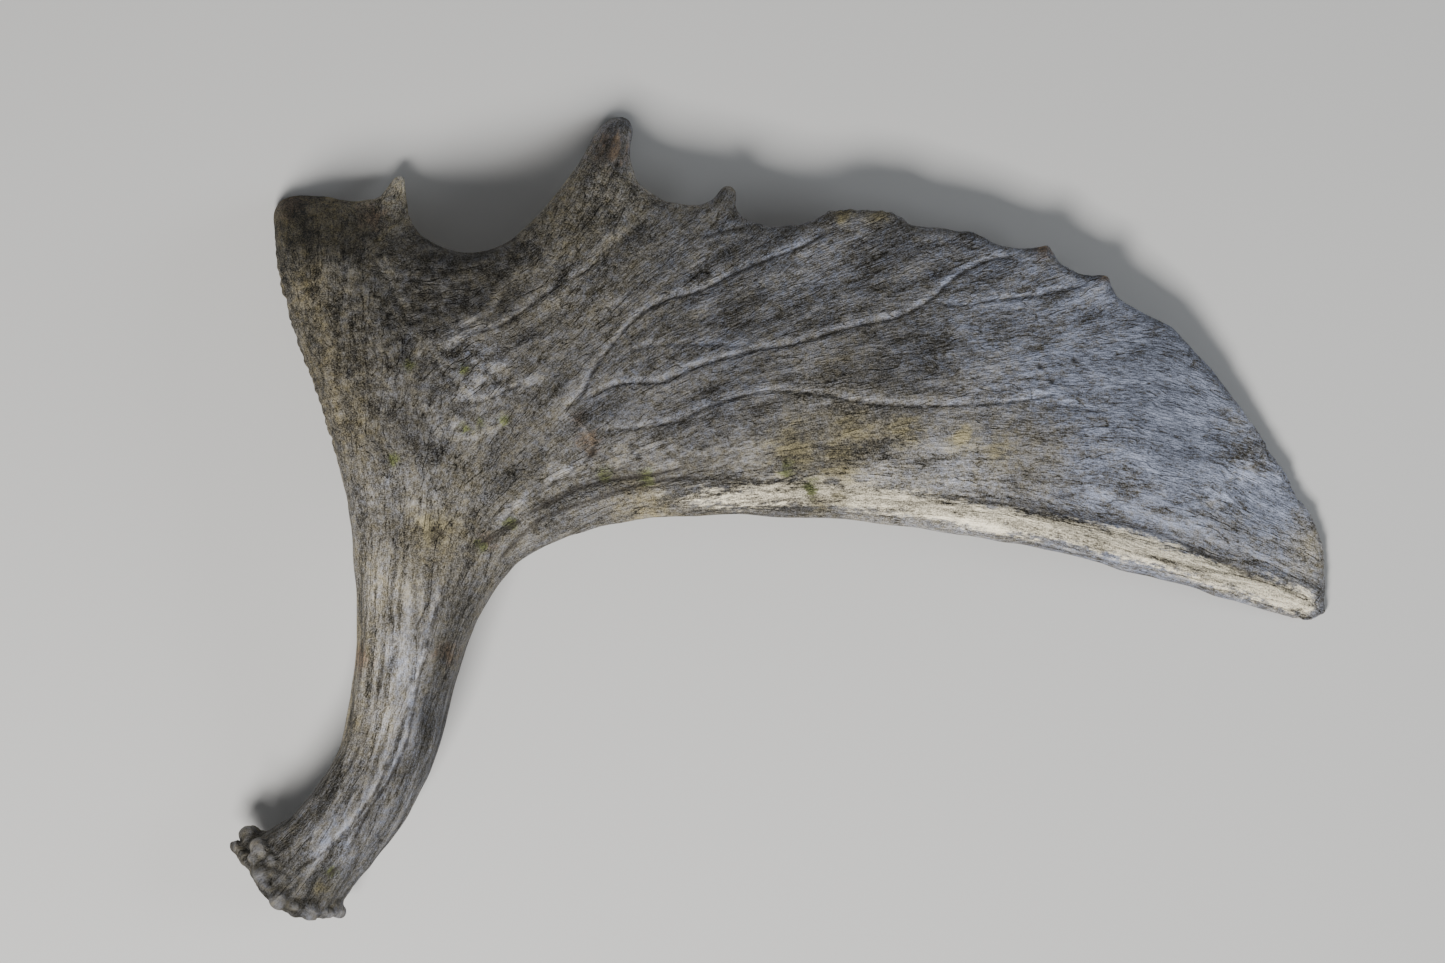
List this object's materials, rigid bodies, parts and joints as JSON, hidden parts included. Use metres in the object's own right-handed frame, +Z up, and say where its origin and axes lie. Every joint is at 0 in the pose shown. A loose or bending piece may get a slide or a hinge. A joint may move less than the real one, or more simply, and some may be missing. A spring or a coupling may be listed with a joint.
{
  "type": "moose antler",
  "caption": "Shed moose antler: a knobbly burr, a round beam, a brow palm with a spur, and a broad domed main palm edged with tines, lying with its rounded face up.",
  "frame": {"origin": "middle of the antler's outline seen from above, on the surface that it rests on", "axes": "+X from the brow palm towards the main palm's far end, +Y from the burr towards the tine tips, +Z up, out of the palm's rounded face"},
  "size_m": [0.6642, 0.4858, 0.1232],
  "materials": {
    "beam_bone": "matte",
    "brow_bone": "matte",
    "palm_bone": "matte"
  },
  "bodies": {
    "root": {"beam": "beam_bone", "brow_palm": "brow_bone", "main_palm": "palm_bone"}
  },
  "joints": []
}
